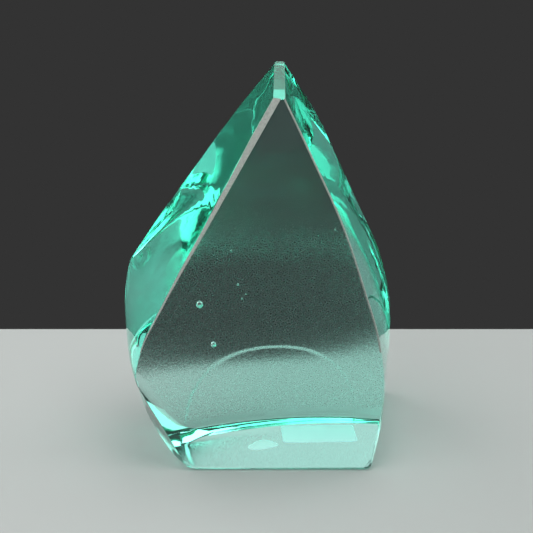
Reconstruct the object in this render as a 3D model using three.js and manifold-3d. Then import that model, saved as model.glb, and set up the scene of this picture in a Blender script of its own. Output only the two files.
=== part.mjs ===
// A flame-shaped award: one heavy block of cast green glass, with two paper stickers under its base.
// Millimetres, +Z up. X runs across the award and Y from its polished face to its crowned back.
// The outlines below are drawn from a point on the table under the tip. The last lines move the
// whole award so that its origin is on the table, under the middle of the block.
import * as THREE from 'three';
import { ConvexGeometry } from 'three/addons/geometries/ConvexGeometry.js';
import { mergeVertices } from 'three/addons/utils/BufferGeometryUtils.js';
import Module from 'manifold-3d';

const wasm = await Module();
wasm.setup();

// ---- driving dimensions ------------------------------------------------------------------------
const FACE_Y = -36;            // the flat polished face
const FACE_TOP = 167.5;        // height of the face's tip, which is cut off square
const TIP_RIGHT = 1.9;         // right-hand corner of the tip
const TIP_LEFT = 0.4;          // where the face stops and the ground left edge begins
const STRAIGHT_END = { x: -48.4, z: 78.1 };   // the face's left side is straight down to here
const ARRIS_WIDTH = 3;         // the left edge is ground off this wide at the tip
const ARRIS_DEPTH = 1.6;
const ARRIS_FOOT = 62;         // height at which the ground edge has run out
const BACK_TOP = 171;          // height of the back's tip, joined to the face's by a narrow flat
const CROWN_RADIUS = 110;      // the back is crowned across to this radius
const BACK_ARRIS = 2;          // the back lower edge is ground off by this much
const RIBS = 26;               // sections up the back
const RIB_STEPS = 14;          // points across each section

// the stickers under the base
const PAPER_THICK = 0.2;
const STICKER = { width: 34, depth: 24, corner: 2, x: 19, y: 14, turn: 3 };
const REMNANT = { radius: 6.4, x: -6.7, y: -1.8 };
const SEAT_GAP = 0.3;          // clearance round a sticker in its shallow seat

// ---- outline of the flat face, in X and Z --------------------------------------------------------
const face = new THREE.Path();
face.moveTo(TIP_LEFT, FACE_TOP);
face.lineTo(STRAIGHT_END.x, STRAIGHT_END.z);
face.quadraticCurveTo(-60.2, 56.5, -60.2, 46);
face.quadraticCurveTo(-60.2, 42.5, -57, 37);
face.lineTo(-42.8, 8);
face.quadraticCurveTo(-40.5, 2.2, -34, 1.2);
face.quadraticCurveTo(-3.5, -1.2, 27, 1.2);
face.quadraticCurveTo(40, 2.3, 41.3, 7);
face.splineThru([[44, 29], [44.8, 41], [42.2, 62.3], [35, 87.6], [26.1, 114], [11.3, 147.3],
  [TIP_RIGHT, FACE_TOP]].map(([x, z]) => new THREE.Vector2(x, z)));
const facePoints = face.getPoints(14).map((p) => new THREE.Vector3(p.x, FACE_Y, p.y));

// The ground edge is a narrow flat that leaves the face at the tip and fades out down its left side.
function arrisPoint(height) {
  const run = (FACE_TOP - height) / (FACE_TOP - ARRIS_FOOT);
  const down = (FACE_TOP - height) / (FACE_TOP - STRAIGHT_END.z);
  const faceX = THREE.MathUtils.lerp(TIP_LEFT, STRAIGHT_END.x, down);
  const width = ARRIS_WIDTH * Math.sqrt(1 - run * run);
  return new THREE.Vector3(faceX - width, FACE_Y + ARRIS_DEPTH * (1 - run), height);
}
const arrisPoints = [FACE_TOP, 150, 130, 110, 90].map(arrisPoint);

// ---- the widest edge, where the walls meet the crowned back --------------------------------------
const spline = (points) => new THREE.CatmullRomCurve3(
  points.map(([x, y, z]) => new THREE.Vector3(x, y, z)), false, 'centripetal');
const leftEdge = spline([[-47.3, 5, 0], [-61.5, 0.5, 6], [-66.4, 1.5, 28], [-68.8, 4, 45], [-69.5, 7, 61.4],
  [-67.5, 9, 78.3], [-59.5, 11, 92], [-43.7, 11, 114.6], [-16.3, 11, 152.3], [-1.4, 9, BACK_TOP]]);
const rightEdge = spline([[50, 34, 0], [53.9, 32, 6], [54.3, 30, 30.9], [53.3, 28, 51.2], [47.2, 25, 77.3],
  [37.8, 21, 99.5], [27, 16, 123.9], [16.8, 11.5, 146.9], [2, 9, BACK_TOP]]);

// Finds the point of an edge at a height, by halving: both edges only rise.
function atHeight(edge, height) {
  let low = 0;
  let high = 1;
  for (let i = 0; i < 30; i += 1) {
    const middle = (low + high) / 2;
    if (edge.getPoint(middle).z < height) low = middle;
    else high = middle;
  }
  return edge.getPoint(low);
}

// One section across the back: a shallow arc between the two edges.
function rib(height) {
  const left = atHeight(leftEdge, height);
  const right = atHeight(rightEdge, height);
  return Array.from({ length: RIB_STEPS + 1 }, (_, i) => {
    const along = i / RIB_STEPS;
    const point = new THREE.Vector3().lerpVectors(left, right, along);
    point.y += (point.x - left.x) * (right.x - point.x) / (2 * CROWN_RADIUS);
    return point;
  });
}
const backPoints = [];
for (let i = 0; i <= RIBS; i += 1) {
  backPoints.push(...rib(BACK_ARRIS + (BACK_TOP - BACK_ARRIS) * i / RIBS));
}

// ---- the flat ground base --------------------------------------------------------------------------
const baseBack = rib(0).slice(1, -1).map((p) => p.setY(p.y - BACK_ARRIS));
const baseFront = [[-46.5, -8], [-42, -25.5], [-34, -33], [-12, -34.8], [8, -34.8], [28, -33.8],
  [38, -31.5], [42, -25.5], [48.5, 31]].map(([x, y]) => new THREE.Vector3(x, y, 0));
// low points of the rounded left and right ends
const ends = [[-56.3, -12, 3], [-50.2, -24.5, 2.2], [-45, -33, 2.2], [42.4, -28, 1.5], [45, -17, 1.5],
  [48.4, -2, 1.5], [51.4, 16, 2]].map(([x, y, z]) => new THREE.Vector3(x, y, z));

// ---- solids ----------------------------------------------------------------------------------------
function toManifold(geometry) {
  const bare = geometry.clone();
  bare.deleteAttribute('normal');
  bare.deleteAttribute('uv');
  const merged = mergeVertices(bare, 1e-4);
  return new wasm.Manifold(new wasm.Mesh({
    numProp: 3,
    vertProperties: new Float32Array(merged.attributes.position.array),
    triVerts: new Uint32Array(merged.index.array),
  }));
}

function toGeometry(solid) {
  const mesh = solid.getMesh();
  const geometry = new THREE.BufferGeometry();
  geometry.setAttribute('position', new THREE.BufferAttribute(new Float32Array(mesh.vertProperties), 3));
  geometry.setIndex(new THREE.BufferAttribute(new Uint32Array(mesh.triVerts), 1));
  geometry.computeVertexNormals();
  return geometry;
}

// A sheet standing on the table, cut to an outline that is grown by some clearance.
function roundedSheet(grow, thick) {
  const halfX = STICKER.width / 2 + grow;
  const halfY = STICKER.depth / 2 + grow;
  const r = STICKER.corner + grow;
  const outline = new THREE.Shape();
  outline.absarc(halfX - r, halfY - r, r, 0, Math.PI / 2);
  outline.absarc(r - halfX, halfY - r, r, Math.PI / 2, Math.PI);
  outline.absarc(r - halfX, r - halfY, r, Math.PI, 1.5 * Math.PI);
  outline.absarc(halfX - r, r - halfY, r, 1.5 * Math.PI, 2 * Math.PI);
  return new THREE.ExtrudeGeometry(outline, { depth: thick, bevelEnabled: false, curveSegments: 6 })
    .rotateZ(THREE.MathUtils.degToRad(STICKER.turn))
    .translate(STICKER.x, STICKER.y, 0);
}

// The remnant has two lobes, so its edge swings in and out twice as it goes round.
function lobedSheet(grow, thick) {
  const rim = Array.from({ length: 28 }, (_, i) => {
    const angle = 2 * Math.PI * i / 28;
    const radius = REMNANT.radius + grow + Math.cos(2 * angle - 1.6) + 0.7 * Math.cos(3 * angle + 0.8);
    return new THREE.Vector2(radius * Math.cos(angle), radius * Math.sin(angle));
  });
  return new THREE.ExtrudeGeometry(new THREE.Shape(rim), { depth: thick, bevelEnabled: false })
    .translate(REMNANT.x, REMNANT.y, 0);
}

const block = new ConvexGeometry(
  [...facePoints, ...arrisPoints, ...backPoints, ...baseBack, ...baseFront, ...ends]);
// A sticker's seat is cut from 1 mm below the base to just above the paper.
const seat = (sheet) => toManifold(sheet(SEAT_GAP, PAPER_THICK + SEAT_GAP + 1)).translate([0, 0, -1]);
const glass = toManifold(block).subtract(seat(roundedSheet)).subtract(seat(lobedSheet));

// ---- the award --------------------------------------------------------------------------------------
const finish = (color, roughness) => new THREE.MeshStandardMaterial({ color, roughness, metalness: 0 });

function piece(name, geometry, material) {
  const mesh = new THREE.Mesh(geometry, material);
  mesh.name = name;
  return mesh;
}

const award = new THREE.Group();
award.add(piece('crystal_body', toGeometry(glass), finish(0x4fa58c, 0.05)));
award.add(piece('base_sticker', roundedSheet(0, PAPER_THICK), finish(0xf2f0ea, 0.8)));
award.add(piece('sticker_remnant', lobedSheet(0, PAPER_THICK), finish(0xe9e6dd, 0.85)));

const box = new THREE.Box3().setFromObject(award);
award.position.set(-(box.min.x + box.max.x) / 2, -(box.min.y + box.max.y) / 2, 0);

export default award;
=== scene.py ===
# %% [markdown]
# # A flame-shaped award in cast green glass
#
# The award is one heavy block of glass, poured into a mould and then cut. Its front is ground flat
# and polished, its walls slope outwards, and its back keeps the pebbly skin of the mould. Two scraps
# of sticker paper are left under the base. This lesson builds the block as one closed mesh, gives
# each surface the finish that its making left on it, and lights it so that the glass shows.
#
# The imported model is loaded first. It fixes where everything is, so all places come from its boxes.

import math

import bpy
import numpy as np
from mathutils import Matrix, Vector


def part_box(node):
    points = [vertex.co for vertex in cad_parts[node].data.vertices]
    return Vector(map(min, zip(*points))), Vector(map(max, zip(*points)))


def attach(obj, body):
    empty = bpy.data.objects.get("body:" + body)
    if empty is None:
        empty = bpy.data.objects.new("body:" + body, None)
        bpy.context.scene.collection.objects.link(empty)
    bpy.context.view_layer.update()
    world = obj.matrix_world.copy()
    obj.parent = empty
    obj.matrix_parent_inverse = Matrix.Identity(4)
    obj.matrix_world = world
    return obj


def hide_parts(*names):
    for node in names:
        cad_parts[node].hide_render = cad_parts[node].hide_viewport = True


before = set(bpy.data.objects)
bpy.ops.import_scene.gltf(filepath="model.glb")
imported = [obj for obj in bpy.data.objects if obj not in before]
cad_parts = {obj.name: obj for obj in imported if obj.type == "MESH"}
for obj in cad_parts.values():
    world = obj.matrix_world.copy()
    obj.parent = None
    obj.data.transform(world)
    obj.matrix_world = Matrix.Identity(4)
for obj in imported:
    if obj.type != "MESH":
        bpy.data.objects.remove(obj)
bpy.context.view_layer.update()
MM = 0.001
block_low, block_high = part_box("crystal_body")
print("block size in mm:", [round(v / MM, 1) for v in block_high - block_low])

# %% [markdown]
# The block is drawn from a point on the table right under its tip, because the tip is the natural
# centre line of such an outline. The frame's origin is under the middle of the block's box, so the
# two differ by a step that the box gives: the block reaches 69.5 mm to the left of the tip, and its
# face is 36 mm in front of it.

# %% Units, colours and selection
LEFT_REACH = 69.5       # mm from the tip's line to the widest point on the left
FACE_Y = -36.0          # mm, the polished face
OFFSET = Vector((block_low.x / MM + LEFT_REACH, block_low.y / MM - FACE_Y, 0.0))


def place(x, y, z):
    """A point given in mm from under the tip, in the frame's metres."""
    return (Vector((x, y, z)) + OFFSET) * MM


def srgb(hex_colour):
    """An sRGB hex colour as linear red, green, blue and an alpha of 1."""
    values = [int(hex_colour[i:i + 2], 16) / 255 for i in (1, 3, 5)]
    return [v / 12.92 if v <= 0.04045 else ((v + 0.055) / 1.055) ** 2.4 for v in values] + [1.0]


def only(obj):
    """Deselects everything, then selects one object and makes it active."""
    bpy.ops.object.select_all(action="DESELECT")
    obj.select_set(True)
    bpy.context.view_layer.objects.active = obj


def apply_last_modifier(obj):
    bpy.ops.object.modifier_apply(modifier=obj.modifiers[-1].name)


print("the tip stands over", [round(v / MM, 2) for v in place(0, 0, 0)])

# %% [markdown]
# ## The camera
# A short telephoto view from the front, looking down at the block by about 24 degrees from half a
# metre away. The look-down shows the flat base through the lower part of the face.

# %% Camera
LOOK_DOWN = math.radians(24)
DISTANCE = 480          # mm
AIM = place(-5.1, -9.0, 86.1)

bpy.ops.object.select_all(action="DESELECT")
bpy.ops.object.camera_add()
camera = bpy.context.object
camera.name = "camera"
camera.data.lens = 75.4
camera.data.sensor_width = 36
camera.data.clip_start = 0.01
camera.location = AIM + Vector((0, -math.cos(LOOK_DOWN), math.sin(LOOK_DOWN))) * DISTANCE * MM
camera.rotation_euler = (math.pi / 2 - LOOK_DOWN, 0, 0)
bpy.context.scene.camera = camera
print("camera stands at", [round(v, 3) for v in camera.location])

# %% [markdown]
# ## The outline of the block, height by height
# Four edges run up the block: the left and right edges of the polished face, and the left and right
# widest edges, where the walls meet the back. Each is a handful of points joined by a smooth curve.
# A plain spline would make the straight stretches wavy. A monotone cubic bends only where its points
# bend, so what the cutter ground straight stays straight.

# %% A smooth curve through a few points
def smooth_through(points):
    """A function of height through (height, value) points, with no overshoot."""
    h = np.array([p[0] for p in points], float)
    v = np.array([p[1] for p in points], float)
    step, rise = np.diff(h), np.diff(v) / np.diff(h)
    slope = np.concatenate([rise[:1], np.zeros(len(h) - 2), rise[-1:]])
    for i in range(1, len(h) - 1):
        if rise[i - 1] * rise[i] > 0:
            a, b = 2 * step[i] + step[i - 1], step[i] + 2 * step[i - 1]
            slope[i] = (a + b) / (a / rise[i - 1] + b / rise[i])

    def curve(height):
        i = int(np.clip(np.searchsorted(h, height) - 1, 0, len(h) - 2))
        t = (height - h[i]) / step[i]
        return ((1 + 2 * t) * (1 - t) ** 2 * v[i] + t * (1 - t) ** 2 * step[i] * slope[i]
                + t * t * (3 - 2 * t) * v[i + 1] + t * t * (t - 1) * step[i] * slope[i + 1])
    return curve


print("a smooth step, halfway up it:", smooth_through([(0, 0), (1, 1), (2, 1)])(0.5))

# %% The four edges, in mm: (height, sideways) and (height, depth)
FACE_TOP = 167.5
BACK_TOP = 171.0
BACK_TIP_Y = 9.0

face_left = smooth_through([(0, -33), (0.8, -37), (2.5, -40), (8, -42.8), (22.5, -49.9), (37, -57),
                            (46, -60.2), (59.3, -57.3), (78.1, -48.4), (122.8, -24), (FACE_TOP, 0.4)])
face_right = smooth_through([(0, 36), (0.8, 39.3), (2.5, 40.8), (7, 41.3), (29, 44), (41, 44.8),
                             (62.3, 42.2), (87.6, 35), (114, 26.1), (147.3, 11.3), (FACE_TOP, 1.9)])
wide_left_x = smooth_through([(0, -47.3), (1, -53), (3, -58.6), (6, -61.5), (28, -66.4), (45, -68.8),
                              (61.4, -69.5), (78.3, -67.5), (92, -59.5), (114.6, -43.7),
                              (152.3, -16.3), (BACK_TOP, -1.4)])
wide_left_y = smooth_through([(0, 5), (6, 0.5), (28, 1.5), (45, 4), (61.4, 7), (78.3, 9), (92, 11),
                              (152.3, 11), (BACK_TOP, BACK_TIP_Y)])
wide_right_x = smooth_through([(0, 50), (1, 52.4), (3, 53.6), (6, 53.9), (30.9, 54.3), (51.2, 53.3),
                               (77.3, 47.2), (99.5, 37.8), (123.9, 27), (146.9, 16.8), (BACK_TOP, 2)])
wide_right_y = smooth_through([(0, 33), (6, 32), (30.9, 30), (51.2, 28), (77.3, 25), (99.5, 21),
                               (123.9, 16), (146.9, 11.5), (BACK_TOP, BACK_TIP_Y)])
print("width at 60 mm up:", round(wide_right_x(60) - wide_left_x(60), 1), "mm")

# %% [markdown]
# ## One section through the block
# A level cut through the block is a closed outline: the flat face, the right wall, the crowned back
# and the left wall. Its corners are not sharp, because glass chips there: each is taken off with a
# small flat that glass cutters call an arris. On the left of the face the arris is nearly 3 mm wide at
# the top and fades out lower down. On the back the mould left a low arched pad, whose rounded rim
# shows through the face as a pale line. At the lower left the corner between wall and back was
# ground away, wider towards the table: this heel shows through the face as a bright slanting band.
# Every section has the same number of points, so that the sections can be joined.

# %% How a section is divided
POINTS = {"face": 8, "right_arris": 3, "right_wall": 26, "back_right": 4, "back": 176,
          "back_left": 10, "left_wall": 40, "ground_edge": 3}
RING = sum(POINTS.values())
CROWN_RADIUS = 110.0
GROUND_EDGE = {"width": 2.8, "depth": 1.4, "foot": 55.0, "full": 150.0}
ARRIS = {"width": 0.4, "depth": 0.3}
ROUNDING = {"right_arris": 0.6, "back_right": 1.4, "back_left": 2.6}
FOOT = {"face": (1.2, 2.0), "back": (2.0, 2.5), "wall": (3.5, 8.0)}     # how far in, and how high
WALL_SWELL = 0.7
HEEL = {"height": 36.0, "back": 17.0, "wall": 7.0, "flatness": 0.8}
PAD = {"centre": -3.0, "half_width": 40.0, "height": 38.5, "rise": 0.4, "rim": 0.8}
PAPER_GAP = 0.08        # mm: the sticker paper keeps the glass this far off the table
print("points in a section:", RING)


# %% Small helpers for a section
def between(a, b, count):
    """count points from a towards b, without b itself."""
    return [a + (b - a) * (i / count) for i in range(count)]


def toward(point, target, reach):
    """The point moved towards a target, but by no more than 0.3 of the way."""
    return point + (target - point).normalized() * min(reach, 0.3 * (target - point).length)


def corner(first, point, last, count):
    """count points of the curve that takes a corner off, from first towards last, without last."""
    steps = [i / count for i in range(count)]
    return [first * (1 - t) ** 2 + point * 2 * t * (1 - t) + last * t * t for t in steps]


def swollen_wall(a, b, bulge, count):
    """A wall from a to b, without b, that swells outwards by bulge in its middle."""
    out = Vector(((b - a).y, -(b - a).x)).normalized()
    steps = [i / count for i in range(count)]
    return [a + (b - a) * t + out * (4 * bulge * t * (1 - t)) for t in steps]


def foot(side, height):
    """How far a side's lower edge is rounded in at a height: most at the table, then nothing."""
    inward, reach = FOOT[side]
    return inward * (1 - min(height / reach, 1)) ** 2


def on_pad(x, height):
    """0 off the mould's pad and 1 on it, rising smoothly over its rim."""
    across, up = abs(x - PAD["centre"]) / PAD["half_width"], height / PAD["height"]
    arch = (across ** 2.4 + up ** 2.4) ** (1 / 2.4)
    t = float(np.clip((1 - arch) * PAD["height"] / PAD["rim"], 0, 1))
    return t * t * (3 - 2 * t)


print("the pad's middle and outside:", on_pad(PAD["centre"], 10), on_pad(PAD["centre"], 60))

# %% The section itself
def section(share):
    """The ring of points at a share of the block's height."""
    low, high = share * FACE_TOP, share * BACK_TOP
    fade = (low - GROUND_EDGE["foot"]) / (GROUND_EDGE["full"] - GROUND_EDGE["foot"])
    fade = min(max(fade, 0), 1) ** 1.5
    front = FACE_Y + foot("face", low)
    face_l, face_r = Vector((face_left(low), front)), Vector((face_right(low), front))
    edge_l = face_l + Vector((-ARRIS["width"] - (GROUND_EDGE["width"] - ARRIS["width"]) * fade,
                              ARRIS["depth"] + (GROUND_EDGE["depth"] - ARRIS["depth"]) * fade))
    wide_l = Vector((wide_left_x(high), wide_left_y(high)))
    wide_r = Vector((wide_right_x(high), wide_right_y(high)))

    def crown(t):
        """A point of the crowned back, from the right edge to the left one."""
        p = wide_r.lerp(wide_l, t)
        p.y += (wide_r.x - p.x) * (p.x - wide_l.x) / (2 * CROWN_RADIUS)
        p.y += PAD["rise"] * on_pad(p.x, high) - foot("back", high)
        return p

    width = (wide_r - wide_l).length
    heel = max(0, 1 - high / HEEL["height"])
    turn = ROUNDING["back_left"] + HEEL["back"] * heel
    first, last = min(ROUNDING["back_right"] / width, 0.03), 1 - min(turn / width, 0.2)
    right_start = toward(face_r, wide_r, ROUNDING["right_arris"])
    right_end = toward(wide_r, face_r, ROUNDING["back_right"])
    left_start = toward(wide_l, edge_l, ROUNDING["back_left"] + HEEL["wall"] * heel)
    heel_point = wide_l.lerp((crown(last) + left_start) / 2, HEEL["flatness"] * heel)
    face_end = toward(face_r, face_l, ROUNDING["right_arris"])
    right_arris = corner(face_end, face_r, right_start, POINTS["right_arris"])
    back_right = corner(right_end, wide_r, crown(first), POINTS["back_right"])
    back_left = corner(crown(last), heel_point, left_start, POINTS["back_left"])
    bulge = WALL_SWELL * min(1, (1 - share) * 5) + foot("wall", low)

    ring = between(face_l, right_arris[0], POINTS["face"]) + right_arris
    ring += swollen_wall(right_start, right_end, bulge * 0.5, POINTS["right_wall"]) + back_right
    ring += [crown(first + (last - first) * i / POINTS["back"]) for i in range(POINTS["back"])]
    ring += back_left + swollen_wall(left_start, edge_l, bulge, POINTS["left_wall"])
    ring += between(edge_l, face_l, POINTS["ground_edge"])
    tilt = (BACK_TOP - FACE_TOP) / (BACK_TIP_Y - FACE_Y)
    return [place(p.x, p.y, PAPER_GAP + share * (FACE_TOP - PAPER_GAP + tilt * (p.y - FACE_Y)))
            for p in ring]


middle = section(0.5)
print("face width halfway up in mm:", round((middle[POINTS["face"]] - middle[0]).length / MM, 1))

# %% [markdown]
# ## Roll the block from a sheet
# The walls are free-form, so no extrude or bevel gives them. Sections could be extruded one from the
# next by hand. The quicker way here is a grid: one sheet with a column for each point of a section
# and a row for each height is wrapped round the block, its two side edges are merged and its ends
# filled. The rows are close together near the table, where the lower edge is rounded, and about
# 0.65 mm apart above it, which is fine enough to carry the mould's pebbles as real shape.

# %% Wrap the sheet
FOOT_ROWS = [0, 0.3, 0.6, 1.0, 1.5, 2.0, 2.6, 3.3, 4.1, 5.0, 6.0, 7.0]
ROW_STEP = 0.65         # mm
wall_rows = int((FACE_TOP - FOOT_ROWS[-1]) / ROW_STEP)
heights = FOOT_ROWS + list(np.linspace(FOOT_ROWS[-1], FACE_TOP, wall_rows + 1)[1:])
shares = np.array(heights) / FACE_TOP
rows = len(shares) - 1

bpy.ops.object.select_all(action="DESELECT")
bpy.ops.mesh.primitive_grid_add(x_subdivisions=RING, y_subdivisions=rows, size=1)
glass = bpy.context.object
glass.name = "glass_block"
wrapped = [ring + ring[:1] for ring in map(section, shares)]
glass.data.vertices.foreach_set("co", np.array(wrapped, np.float32).ravel())
glass.data.update()
print("sheet of", rows, "rows and", RING, "columns")

# %% [markdown]
# Each finish is marked before the seam is merged, while the columns of the sheet are still in order.
# The marks are attributes: the material reads some of them, and the ground faces are copied later by
# theirs. The mould's skin fades out over a few columns at the sides, and over 50 mm towards the top,
# where the flame that polished the walls also softened the back.

# %% Mark the finishes
first_column = {}
for part, before in zip(POINTS, np.cumsum([0] + list(POINTS.values()))):
    first_column[part] = int(before)


def ramp(positions, first, last, reach):
    """0 outside first and last, rising to 1 over reach inside them."""
    return np.clip(np.minimum(positions - first, last - positions) / reach, 0, 1)


SKIN_TOP = 142.0        # mm
SKIN_FADE = 50.0        # mm
SIDE_FADE = 4           # columns
across, up = np.arange(RING + 1), np.arange(rows + 1)
skin_up = np.clip((shares * BACK_TOP - 2.5) / 4, 0, 1)
skin_up *= np.clip((SKIN_TOP - shares * BACK_TOP) / SKIN_FADE, 0, 1)
skin = np.outer(skin_up, ramp(across, first_column["back"], first_column["back_left"], SIDE_FADE))
left = ramp(across, first_column["left_wall"], first_column["ground_edge"], SIDE_FADE)
right = ramp(across, first_column["right_wall"], first_column["back_right"], SIDE_FADE)
walls = np.outer(ramp(up, 3, rows, 12), np.maximum(left, right))
print("share of the sheet with skin:", round(float((skin > 0).mean()), 2))

# %% Write the marks
for name, values in (("mould_skin", skin), ("walls", walls)):
    marks = glass.data.attributes.new(name, "FLOAT", "POINT")
    marks.data.foreach_set("value", values.astype(np.float32).ravel())
    group = glass.vertex_groups.new(name=name + "_points")
    for index in np.flatnonzero(values):
        group.add([int(index)], float(values.flat[index]), "REPLACE")

glass.data.attributes.new("worn_base", "FLOAT", "FACE")
ground = np.zeros((rows, RING), bool)
above_foot = shares[1:] * FACE_TOP > GROUND_EDGE["foot"] + 4
ground[above_foot, first_column["ground_edge"]:] = True
ground[above_foot, first_column["right_arris"]:first_column["right_wall"]] = True
marks = glass.data.attributes.new("ground_faces", "BOOLEAN", "FACE")
marks.data.foreach_set("value", ground.ravel())
print("ground faces:", int(ground.sum()), "skin points:", int((skin > 0).sum()))

# %% Close the seam and the ends
only(glass)
bpy.ops.object.mode_set(mode="EDIT")
bpy.ops.mesh.select_all(action="SELECT")
bpy.ops.mesh.remove_doubles(threshold=2e-6)
bpy.ops.mesh.select_all(action="DESELECT")
bpy.ops.mesh.select_mode(type="EDGE")
bpy.ops.mesh.select_non_manifold(extend=False, use_wire=False, use_boundary=True,
                                 use_multi_face=False, use_non_contiguous=False, use_verts=False)
bpy.ops.mesh.edge_face_add()
bpy.ops.object.mode_set(mode="OBJECT")
worn_marks = glass.data.attributes["worn_base"].data
for face in glass.data.polygons:
    if face.loop_total == RING and face.normal.z < 0:
        worn_marks[face.index].value = 1.0
print("faces:", len(glass.data.polygons), "corners of the base:", RING)

# %% [markdown]
# ## Waves in the skin
# Glass that cools against a mould keeps the mould's slow unevenness, and a wall polished by flame
# keeps soft waves. Both bend the light a little, which is what makes the inside of such a block look
# alive. They are true shape here: Displace modifiers with cloud textures, each weighed by its vertex
# group and applied. They stay under 0.1 mm, because a slope of even one degree on a mirror-like wall
# moves a reflection by centimetres. Face, base and edges stay flat.

# %% Displace the walls and the back
def waves(obj, name, group, size, height):
    """Pushes a group of points in and out by soft noise of a size and height in mm."""
    cloud = bpy.data.textures.new(name, "CLOUDS")
    cloud.noise_scale = size * MM
    cloud.noise_depth = 1
    only(obj)
    bpy.ops.object.modifier_add(type="DISPLACE")
    push = obj.modifiers[-1]
    push.texture = cloud
    push.texture_coords = "LOCAL"
    push.vertex_group = group
    push.mid_level = 0.5
    push.strength = height * MM
    apply_last_modifier(obj)


waves(glass, "flame waves", "walls_points", 35, 0.06)
waves(glass, "mould waves", "mould_skin_points", 9, 0.03)
waves(glass, "mould pebbles", "mould_skin_points", 2.6, 0.025)
print("block after the waves:", [round(v / MM, 1) for v in glass.dimensions])

# %% [markdown]
# ## The ground edges
# The wide edge on the left of the face and the thin one on its right were not polished after they
# were ground, so they scatter light and read as pale grey satin bands with the wheel's fine marks
# across them. Rough clear glass would mostly show the dark inside of the block, so the bands get an
# opaque skin of their own: the marked faces are copied, separated and thickened by 0.05 mm.

# %% Copy the ground faces into a skin
only(glass)
bpy.ops.object.mode_set(mode="EDIT")
bpy.ops.mesh.select_mode(type="FACE")
bpy.ops.mesh.select_all(action="DESELECT")
bpy.ops.object.mode_set(mode="OBJECT")
ground_marks = glass.data.attributes["ground_faces"].data
for face in glass.data.polygons:
    face.select = ground_marks[face.index].value
bpy.ops.object.mode_set(mode="EDIT")
bpy.ops.mesh.duplicate()
bpy.ops.mesh.separate(type="SELECTED")
bpy.ops.object.mode_set(mode="OBJECT")
edge_skin = [o for o in bpy.context.selected_objects if o is not glass][0]
edge_skin.name = "ground_edge_skin"
print("faces copied:", len(edge_skin.data.polygons))

# %% Thicken the skin
only(edge_skin)
edge_skin.vertex_groups.clear()
bpy.ops.object.modifier_add(type="SOLIDIFY")
edge_skin.modifiers[-1].thickness = 0.05 * MM
edge_skin.modifiers[-1].offset = 1
apply_last_modifier(edge_skin)
bpy.ops.object.shade_smooth_by_angle(angle=math.radians(30))
for obj, names in ((edge_skin, ("mould_skin", "walls", "worn_base", "ground_faces")),
                   (glass, ("ground_faces",))):
    for name in names:
        obj.data.attributes.remove(obj.data.attributes[name])
print("edge skin in mm:", [round(v / MM, 1) for v in edge_skin.dimensions])

# %% [markdown]
# ## Bubbles
# Two air bubbles of about 3 mm and a handful of seeds, as glassmakers call the tiny ones, are caught
# in the glass. A bubble is not a ball put into the block but a hole in it, so each is a small sphere
# with its faces turned inwards and joined to the block's mesh. Light then leaves the glass on one
# side of the bubble and comes back on the other, as it should.

# %% Make the bubbles
BUBBLES = [(-33.1, -22, 76.9, 3.0), (-27.7, -20, 57.4, 2.5), (-17.0, -18, 84.9, 0.9),
           (-13.8, -14, 79.3, 0.7), (-15.3, -25, 80.5, 0.7), (-19.8, -12, 98.7, 0.8),
           (23.1, -16, 108.9, 0.7)]


def bubble(x, y, z, width):
    """A slightly tall hollow, as wide as given in mm, with its faces turned inwards."""
    fine = 24 if width > 2 else 12
    bpy.ops.object.select_all(action="DESELECT")
    bpy.ops.mesh.primitive_uv_sphere_add(segments=fine, ring_count=fine // 2, radius=width / 2 * MM,
                                         location=place(x, y, z), scale=(1, 1, 1.12))
    bpy.ops.object.transform_apply(location=True, rotation=True, scale=True)
    bpy.ops.object.mode_set(mode="EDIT")
    bpy.ops.mesh.select_all(action="SELECT")
    bpy.ops.mesh.flip_normals()
    bpy.ops.object.mode_set(mode="OBJECT")
    return bpy.context.object


def cover(x, y, z, width):
    """How much glass is left between a bubble and the outside, in mm; below 0 it would poke out."""
    centre = place(x, y, z)
    _, nearest, normal, _ = glass.closest_point_on_mesh(centre)
    depth = (nearest - centre).length * (1 if (nearest - centre).dot(normal) > 0 else -1)
    return depth / MM - width / 2


print("glass over each bubble in mm:", [round(cover(*b), 1) for b in BUBBLES])
hollows = [bubble(*b) for b in BUBBLES]

# %% [markdown]
# ## The glass
# Cast soda-lime glass has an index of refraction of 1.52. A little iron in it takes away red light
# and some blue, so a thin corner looks white and a long way through it looks sea-green. That colour
# is in the depth, not on the surface, so it is a Volume Absorption node, and the surface stays
# clear. The absorption is given per metre for each colour, as a glass catalogue gives it.
#
# All finishes are in one material. A ray may enter by the face and leave by the back, and the
# renderer takes the glass's tint off the ray again only when both are the same material.

# %% Node helpers
def add(material, kind, inputs=None, **properties):
    """Adds a node: properties first, then each input gets a value or a link."""
    node = material.node_tree.nodes.new(kind)
    for key, value in properties.items():
        setattr(node, key, value)
    for key, value in (inputs or {}).items():
        if isinstance(value, bpy.types.NodeSocket):
            material.node_tree.links.new(value, node.inputs[key])
        else:
            node.inputs[key].default_value = value
    return node


def surface(name):
    """A new material, its shader and its object coordinates."""
    material = bpy.data.materials.new(name)
    material.use_nodes = True
    coords = add(material, "ShaderNodeTexCoord").outputs["Object"]
    return material, material.node_tree.nodes["Principled BSDF"], coords


def link(material, source, target):
    material.node_tree.links.new(source, target)


# %% Pattern helpers
def noise(material, coords, size, detail=2.0, stretch=(1, 1, 1)):
    """Noise with features of a size in mm, drawn out by stretch along x, y and z."""
    scale = [1 / (size * MM * s) for s in stretch]
    mapped = add(material, "ShaderNodeMapping", {"Vector": coords, "Scale": scale})
    return add(material, "ShaderNodeTexNoise", {"Vector": mapped.outputs["Vector"], "Scale": 1.0,
                                                "Detail": detail}).outputs["Fac"]


def spread(material, value, low, high):
    """The middle of a noise pattern spread over low to high."""
    return add(material, "ShaderNodeMapRange", {"Value": value, "From Min": 0.3, "From Max": 0.7,
                                                "To Min": low, "To Max": high}).outputs["Result"]


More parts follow.
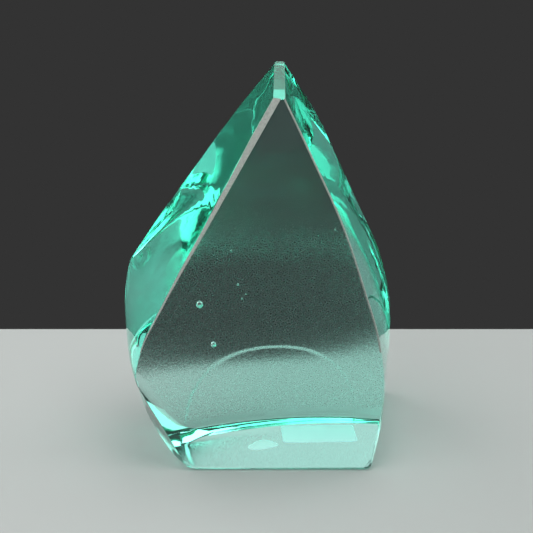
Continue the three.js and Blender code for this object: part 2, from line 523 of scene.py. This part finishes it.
def bump(material, height, depth, below=None, strength=1.0):
    """A bump of a depth in mm, on top of another one if given."""
    inputs = {"Height": height, "Distance": depth * MM, "Strength": strength}
    if below is not None:
        inputs["Normal"] = below
    return add(material, "ShaderNodeBump", inputs).outputs["Normal"]


def blend(material, share, first, second):
    """A colour between two hex colours."""
    node = add(material, "ShaderNodeMix", {0: share, 6: srgb(first), 7: srgb(second)}, data_type="RGBA")
    return node.outputs[2]


# %% The clear body and its tint
ABSORB = (9.0, 0.7, 2.1)       # per metre, for red, green and blue
IOR = 1.52

cast_glass, glass_shader, coords = surface("cast_soda_lime_glass")
strongest = max(ABSORB)
tint = add(cast_glass, "ShaderNodeVolumeAbsorption",
           {"Color": [1 - a / strongest for a in ABSORB] + [1], "Density": strongest})
link(cast_glass, tint.outputs["Volume"], cast_glass.node_tree.nodes["Material Output"].inputs["Volume"])
glass_shader.inputs["Base Color"].default_value = (1, 1, 1, 1)
glass_shader.inputs["Transmission Weight"].default_value = 1.0
glass_shader.inputs["IOR"].default_value = IOR
print("absorption per metre:", ABSORB)


# %% Masks for the finishes
def mark(name):
    """A finish's own attribute: 1 where the finish is and 0 where it is not."""
    return add(cast_glass, "ShaderNodeAttribute", attribute_name=name).outputs["Fac"]


def combine(a, b, operation):
    return add(cast_glass, "ShaderNodeMath", {0: a, 1: b}, operation=operation).outputs["Value"]


skin_mark, wall_mark, worn_mark = mark("mould_skin"), mark("walls"), mark("worn_base")
print("masks:", [a.name for a in glass.data.attributes if a.data_type == "FLOAT"])

# %% [markdown]
# The polished face is nearly a mirror: a trace of haze in soft patches, and a slow ripple that the
# felt wheel leaves. The walls were polished by flame instead, which melts the skin and lets it run,
# so their faint streaks are drawn out along the height.

# %% The polished face and the fire-polished walls
haze = noise(cast_glass, coords, 14, 3.0)
roughness = spread(cast_glass, haze, 0.0, 0.015)
relief = bump(cast_glass, noise(cast_glass, coords, 30), 0.02)

drawn = noise(cast_glass, coords, 3.5, 2.0, stretch=(1, 1, 7))
wall_haze = combine(wall_mark, spread(cast_glass, drawn, 0.0, 0.04), "MULTIPLY")
roughness = combine(roughness, wall_haze, "ADD")
relief = bump(cast_glass, drawn, 0.006, relief, wall_mark)

# %% [markdown]
# The mould's skin is a grain of about 0.65 mm, like fine sand under varnish, with wider marks rubbed
# sideways where the glass shrank along the mould. A rough surface turns into a mirror for light that
# grazes it, which is why the walls of the real block show clear reflections of its rough back. The
# Layer Weight node gives that: the skin fades out as the light comes in flatter.

# %% The mould's skin
facing = add(cast_glass, "ShaderNodeLayerWeight", {"Blend": 0.5}).outputs["Facing"]
steep = add(cast_glass, "ShaderNodeMapRange", {"Value": facing, "From Min": 0.18, "From Max": 0.34,
                                               "To Min": 1.0, "To Max": 0.0},
            interpolation_type="SMOOTHSTEP").outputs["Result"]
seen_skin = combine(skin_mark, steep, "MULTIPLY")
grain = noise(cast_glass, coords, 0.65, 2.5)
rubbed = noise(cast_glass, coords, 1.4, 2.0, stretch=(5, 1, 0.7))
skin_haze = combine(seen_skin, spread(cast_glass, grain, 0.18, 0.32), "MULTIPLY")
roughness = combine(roughness, skin_haze, "ADD")
relief = bump(cast_glass, rubbed, 0.03, relief, seen_skin)
relief = bump(cast_glass, grain, 0.07, relief, seen_skin)
print("nodes up to the mould's skin:", len(cast_glass.node_tree.nodes))

# %% [markdown]
# The base was ground flat and then only roughly polished, and it slides about on tables. Long fine
# scuffs take its clearness away: through the face it is a slightly hazy mirror with streaks along it.

# %% The worn base
scuffs = noise(cast_glass, coords, 0.6, 3.0, stretch=(6, 1, 1))
scuff_haze = combine(worn_mark, spread(cast_glass, scuffs, 0.02, 0.12), "MULTIPLY")
roughness = combine(roughness, scuff_haze, "ADD")
relief = bump(cast_glass, scuffs, 0.004, relief, worn_mark)
link(cast_glass, roughness, glass_shader.inputs["Roughness"])
link(cast_glass, relief, glass_shader.inputs["Normal"])
print("glass nodes:", len(cast_glass.node_tree.nodes))

# %% [markdown]
# ## Finish the block
# The bubbles are joined to the block, so that one mesh holds all the glass. The Weighted Normal
# modifier then makes each flat face shade as flat right up to its rounded edges: without it, the big
# face would bend its reflections near its rim.

# %% Join the bubbles and smooth the shading
glass.data.materials.append(cast_glass)
for hollow in hollows:
    hollow.data.materials.append(cast_glass)
only(glass)
for hollow in hollows:
    hollow.select_set(True)
bpy.ops.object.join()
bpy.ops.object.shade_smooth()
bpy.ops.object.modifier_add(type="WEIGHTED_NORMAL")
glass.modifiers[-1].weight = 80
apply_last_modifier(glass)
glass.vertex_groups.clear()
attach(glass, "root")
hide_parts("crystal_body")
print("block faces:", len(glass.data.polygons))

# %% [markdown]
# ## The ground glass
# Under a lens ground glass is a field of tiny chips, and the eye sees a satin grey with faint lines
# across the band where the wheel passed. The lines are a noise drawn out to twelve times its width
# and turned by 35 degrees, in both the colour and the bump.

# %% Ground glass
ground_glass, shader, coords = surface("ground_glass")
turned = add(ground_glass, "ShaderNodeMapping", {"Vector": coords, "Rotation": (0, math.radians(-35), 0)})
wheel_marks = noise(ground_glass, turned.outputs["Vector"], 0.35, 3.0, stretch=(12, 1, 1))
chips = noise(ground_glass, coords, 0.2, 3.0)
satin = blend(ground_glass, spread(ground_glass, wheel_marks, 0, 1), "#858c86", "#b9bfb9")
link(ground_glass, satin, shader.inputs["Base Color"])
link(ground_glass, spread(ground_glass, chips, 0.38, 0.6), shader.inputs["Roughness"])
relief = bump(ground_glass, chips, 0.01, bump(ground_glass, wheel_marks, 0.02))
link(ground_glass, relief, shader.inputs["Normal"])
shader.inputs["IOR"].default_value = IOR
edge_skin.data.materials.clear()
edge_skin.data.materials.append(ground_glass)
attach(edge_skin, "root")
print("ground edge faces:", len(edge_skin.data.polygons))

# %% [markdown]
# ## The sticker paper
# A blank price sticker and the torn rest of another one cling to the base. Glue fills the gap
# between paper and glass, so no air is left there to mirror the light away, and both are seen
# through the face. That is why the block's base is set 0.12 mm below the top of the paper. Label
# paper has fibres of a few tenths of a millimetre and uneven glue that mottles it. The block focuses
# light onto the paper, which the renderer leaves out, so the paper gets a small even bluish-white
# glow: painted light that stands in for that focused light and lifts the paper's brightness.

# %% Sticker paper
PAINTED_GLOW = ("#e8f0ff", 0.42)


def label_paper(name, light, dark, fibre):
    """Uncoated label paper with its fibres, a size in mm, its mottle and a painted even glow."""
    material, shader, coords = surface(name)
    fibres = noise(material, coords, fibre, 4.0, stretch=(2.5, 1, 1))
    mottle = spread(material, noise(material, coords, 6, 2.0), 0, 1)
    link(material, blend(material, mottle, dark, light), shader.inputs["Base Color"])
    link(material, spread(material, fibres, 0.65, 0.85), shader.inputs["Roughness"])
    link(material, bump(material, fibres, 0.02), shader.inputs["Normal"])
    # Painted light: an even bluish-white glow that stands in for light the block focuses onto the paper.
    shader.inputs["Emission Color"].default_value = srgb(PAINTED_GLOW[0])
    shader.inputs["Emission Strength"].default_value = PAINTED_GLOW[1]
    return material


PAPERS = {"base_sticker": label_paper("label_paper", "#f6f6f2", "#ebebe6", 0.4),
          "sticker_remnant": label_paper("torn_label_paper", "#f3f1ea", "#e4e1d8", 0.3)}
for name, material in PAPERS.items():
    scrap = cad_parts[name]
    scrap.data.materials.clear()
    scrap.data.materials.append(material)
print("papers:", list(PAPERS))

# %% [markdown]
# ## Floor and light
# Glass shows what stands around it, so the surroundings are part of its look. The floor is plain,
# pale and matt, and it ends 64 mm behind the block: through the face the near floor lights the lower
# part, and the dark room beyond it leaves the upper part deep green. A wide soft light on the left
# fills the left wall after several turns inside the block, one behind shows in the base, which acts
# as a mirror, and the others light the floor and the papers.

# %% Floor
FLOOR = {"left": -450, "right": 450, "front": -900, "back": 100}    # mm
wide, deep = FLOOR["right"] - FLOOR["left"], FLOOR["back"] - FLOOR["front"]
bpy.ops.object.select_all(action="DESELECT")
bpy.ops.mesh.primitive_plane_add(size=1, location=((FLOOR["left"] + FLOOR["right"]) / 2 * MM,
                                                   (FLOOR["front"] + FLOOR["back"]) / 2 * MM, -0.0001))
floor = bpy.context.object
floor.name = "floor"
floor.scale = (wide * MM, deep * MM, 1)
bpy.ops.object.transform_apply(location=True, rotation=True, scale=True)
matt, shader, coords = surface("matt_paper")
shader.inputs["Base Color"].default_value = srgb("#a6aaa8")
shader.inputs["Roughness"].default_value = 0.9
floor.data.materials.append(matt)
print("floor in mm:", wide, "by", deep)

# %% Room and lamps
world = bpy.data.worlds.new("room")
bpy.context.scene.world = world
world.use_nodes = True
world.node_tree.nodes["Background"].inputs["Color"].default_value = srgb("#333333")


def softbox(name, where, size, watts, aim=(0, 0, 80)):
    """A soft rectangular lamp at a place in mm, aimed at a point, and not itself in the picture."""
    bpy.ops.object.select_all(action="DESELECT")
    bpy.ops.object.light_add(type="AREA", location=Vector(where) * MM)
    lamp = bpy.context.object
    lamp.name = name
    lamp.data.shape = "RECTANGLE"
    lamp.data.size, lamp.data.size_y = size[0] * MM, size[1] * MM
    lamp.data.energy = watts
    lamp.visible_camera = False
    line = Vector(aim) - Vector(where)
    lamp.rotation_euler = line.to_track_quat("-Z", "Y").to_euler()
    return lamp


lamps = [softbox("top", (150, -50, 700), (500, 500), 3.4),
         softbox("left", (-670, 150, 580), (1300, 750), 7.2),
         softbox("front left", (-400, -520, 620), (500, 450), 2.4),
         softbox("right", (650, 100, 400), (700, 600), 2.0),
         softbox("back", (100, 700, 430), (700, 450), 0.72)]
print("lamps:", len(lamps), "total watts:", sum(lamp.data.energy for lamp in lamps))

# %% [markdown]
# Light inside the block turns many times before it leaves, so the renderer needs more bounces than
# for opaque things. The lamps are left out of the picture itself, and only the glass shows them.
# The plain Standard view keeps the saturated greens of the long light paths.

# %% Renderer and sizes
scene = bpy.context.scene
scene.view_settings.view_transform = "Standard"
scene.cycles.max_bounces = 24
scene.cycles.transmission_bounces = 24
scene.cycles.glossy_bounces = 12
